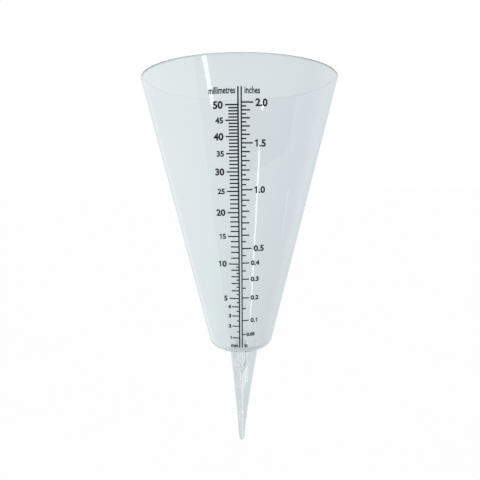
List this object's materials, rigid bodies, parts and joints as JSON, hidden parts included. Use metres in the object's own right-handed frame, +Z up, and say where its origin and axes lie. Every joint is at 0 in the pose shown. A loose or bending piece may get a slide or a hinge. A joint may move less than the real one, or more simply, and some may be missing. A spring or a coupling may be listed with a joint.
{
  "type": "manual rain gauge",
  "caption": "Clear conical rain gauge with a printed millimetre and inch scale, lifted off a clear three-finned ground spike to empty it.",
  "frame": {"origin": "on the axis at the underside of the cone's floor, which is also the soil line", "axes": "+Z up along the axis, out of the open mouth; -Y is the front, where the scale is printed; +X is to the right of the scale"},
  "size_m": [0.1028, 0.1028, 0.2075],
  "materials": {
    "clear_cone": "clear moulded plastic, very faint blue-grey tint, polished",
    "clear_spike": "clear moulded plastic, grey tint where it is thick, polished",
    "black_ink": "black printed ink, semi-gloss"
  },
  "bodies": {
    "spike": {"ground_spike": "clear_spike"},
    "cone": {"measuring_cone": "clear_cone", "millimetre_scale": "black_ink", "inch_scale": "black_ink"}
  },
  "joints": [
    {"name": "cone_lift", "type": "slide", "parent": "spike", "child": "cone", "axis": [0, 0, 1], "range_m": [0, 0.03]}
  ]
}
